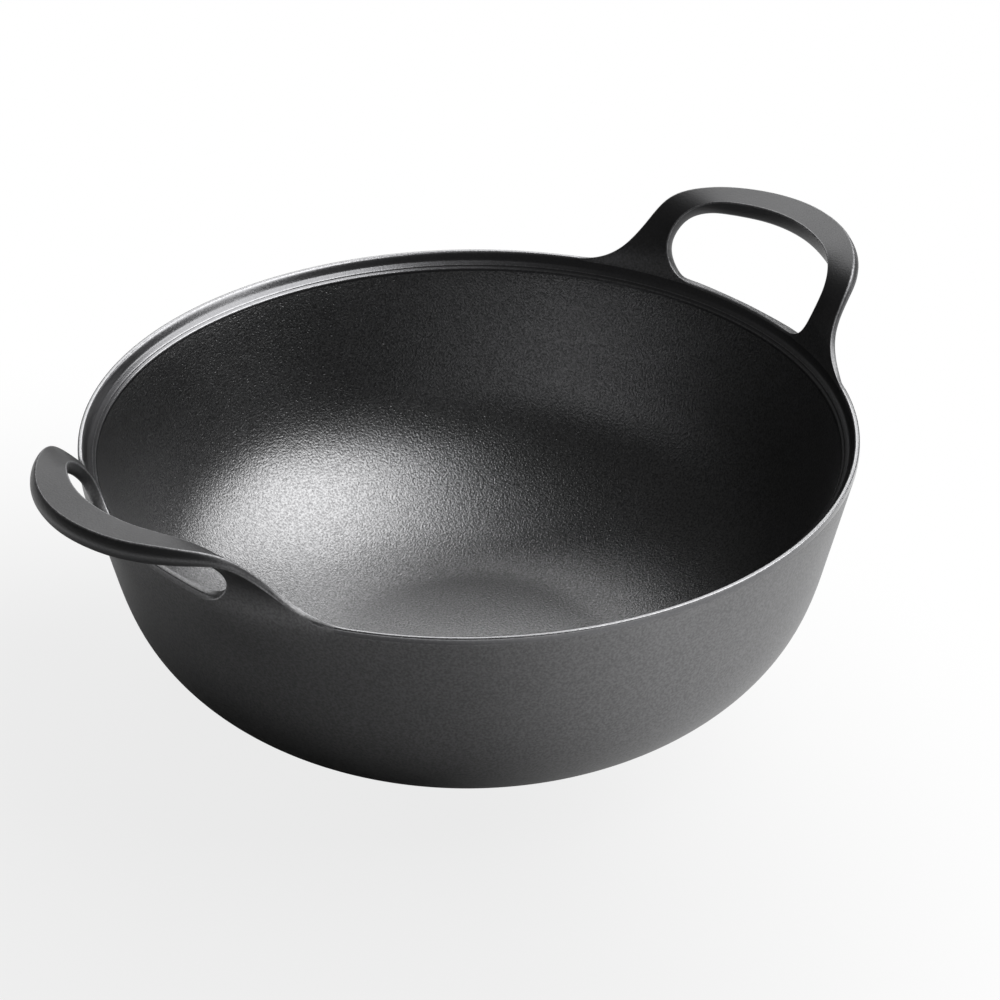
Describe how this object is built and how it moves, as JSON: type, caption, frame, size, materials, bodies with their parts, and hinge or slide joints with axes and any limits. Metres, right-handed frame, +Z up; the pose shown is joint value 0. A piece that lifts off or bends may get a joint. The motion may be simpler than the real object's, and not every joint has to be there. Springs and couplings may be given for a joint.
{
  "type": "cast iron wok",
  "caption": "Small deep cast iron wok with a flat base, curved wall, raised lip over a lid ledge, and a flared loop handle on each side for lifting it.",
  "frame": {"origin": "centre of the flat base, on the surface that the pan stands on", "axes": "+X through the middle of one handle, +Z up along the axis of the bowl"},
  "size_m": [0.25, 0.2, 0.0974],
  "materials": {
    "bowl_iron": "seasoned sand-cast iron, black, satin with a pebbled grain inside",
    "rim_iron": "seasoned cast iron, black, with edges rubbed bright",
    "handle_iron": "seasoned sand-cast iron, charcoal, satin with a fine grain"
  },
  "bodies": {
    "root": {"base_plate": "bowl_iron", "bowl_foot": "bowl_iron", "bowl_heel": "bowl_iron", "bowl_wall": "bowl_iron", "rim_ring": "rim_iron", "handle_right": "handle_iron", "handle_left": "handle_iron"}
  },
  "joints": []
}
